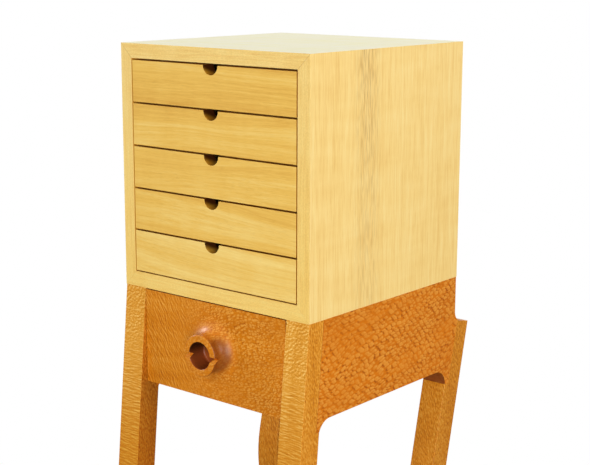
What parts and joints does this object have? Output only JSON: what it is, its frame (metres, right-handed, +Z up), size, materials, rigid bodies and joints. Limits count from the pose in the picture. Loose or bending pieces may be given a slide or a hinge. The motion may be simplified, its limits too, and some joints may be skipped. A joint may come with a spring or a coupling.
{
  "type": "cabinet on stand",
  "caption": "Square mitred drawer case on a sculpted four-legged stand with raked front legs, bent rear legs, horned aprons and a drawer with a turned hollow pull.",
  "frame": {"origin": "on the floor, under the middle of the footprint", "axes": "+Z up, -Y to the front where the drawers open, +X to the viewer's right"},
  "size_m": [0.4, 0.5138, 1.126],
  "materials": {
    "case_wood": "pale straw timber, satin oil",
    "drawer_front_wood": "golden straight-grained timber, satin oil",
    "drawer_box_wood": "pale timber, waxed",
    "runner_wood": "hardwood, waxed",
    "leg_wood": "quarter-sawn lacewood, satin oil",
    "apron_wood": "lacewood with large flakes, satin oil",
    "stand_front_wood": "lacewood with fine flakes, satin oil",
    "pull_wood": "turned timber, polished",
    "screw_brass": "plain brass"
  },
  "bodies": {
    "cabinet": {"case_top": "case_wood", "case_bottom": "case_wood", "case_side_left": "case_wood", "case_side_right": "case_wood", "case_back": "case_wood", "back_screws": "screw_brass", "mitre_tongues": "runner_wood", "runners_left": "runner_wood", "runners_right": "runner_wood", "leg_front_left": "leg_wood", "leg_front_right": "leg_wood", "leg_rear_left": "leg_wood", "leg_rear_right": "leg_wood", "apron_left": "apron_wood", "apron_right": "apron_wood", "front_rail_top": "runner_wood", "front_rail_bottom": "runner_wood", "stand_back_rail": "apron_wood", "bearer_left": "runner_wood", "bearer_right": "runner_wood", "kicker_left": "runner_wood", "kicker_right": "runner_wood", "locating_dowels": "runner_wood"},
    "drawer_1": {"drawer_1_front": "drawer_front_wood", "drawer_1_side_left": "drawer_box_wood", "drawer_1_side_right": "drawer_box_wood", "drawer_1_back": "drawer_box_wood", "drawer_1_bottom": "drawer_box_wood"},
    "drawer_2": {"drawer_2_front": "drawer_front_wood", "drawer_2_side_left": "drawer_box_wood", "drawer_2_side_right": "drawer_box_wood", "drawer_2_back": "drawer_box_wood", "drawer_2_bottom": "drawer_box_wood"},
    "drawer_3": {"drawer_3_front": "drawer_front_wood", "drawer_3_side_left": "drawer_box_wood", "drawer_3_side_right": "drawer_box_wood", "drawer_3_back": "drawer_box_wood", "drawer_3_bottom": "drawer_box_wood"},
    "drawer_4": {"drawer_4_front": "drawer_front_wood", "drawer_4_side_left": "drawer_box_wood", "drawer_4_side_right": "drawer_box_wood", "drawer_4_back": "drawer_box_wood", "drawer_4_bottom": "drawer_box_wood"},
    "drawer_5": {"drawer_5_front": "drawer_front_wood", "drawer_5_side_left": "drawer_box_wood", "drawer_5_side_right": "drawer_box_wood", "drawer_5_back": "drawer_box_wood", "drawer_5_bottom": "drawer_box_wood"},
    "stand_drawer": {"stand_drawer_front": "stand_front_wood", "stand_drawer_side_left": "drawer_box_wood", "stand_drawer_side_right": "drawer_box_wood", "stand_drawer_back": "drawer_box_wood", "stand_drawer_bottom": "drawer_box_wood", "pull": "pull_wood", "pull_screw": "screw_brass"}
  },
  "joints": [
    {"name": "drawer_1_slide", "type": "slide", "parent": "cabinet", "child": "drawer_1", "axis": [0, -1, 0], "range_m": [0, 0.27]},
    {"name": "drawer_2_slide", "type": "slide", "parent": "cabinet", "child": "drawer_2", "axis": [0, -1, 0], "range_m": [0, 0.27]},
    {"name": "drawer_3_slide", "type": "slide", "parent": "cabinet", "child": "drawer_3", "axis": [0, -1, 0], "range_m": [0, 0.27]},
    {"name": "drawer_4_slide", "type": "slide", "parent": "cabinet", "child": "drawer_4", "axis": [0, -1, 0], "range_m": [0, 0.27]},
    {"name": "drawer_5_slide", "type": "slide", "parent": "cabinet", "child": "drawer_5", "axis": [0, -1, 0], "range_m": [0, 0.27]},
    {"name": "stand_drawer_slide", "type": "slide", "parent": "cabinet", "child": "stand_drawer", "axis": [0, -1, 0], "range_m": [0, 0.27]}
  ]
}
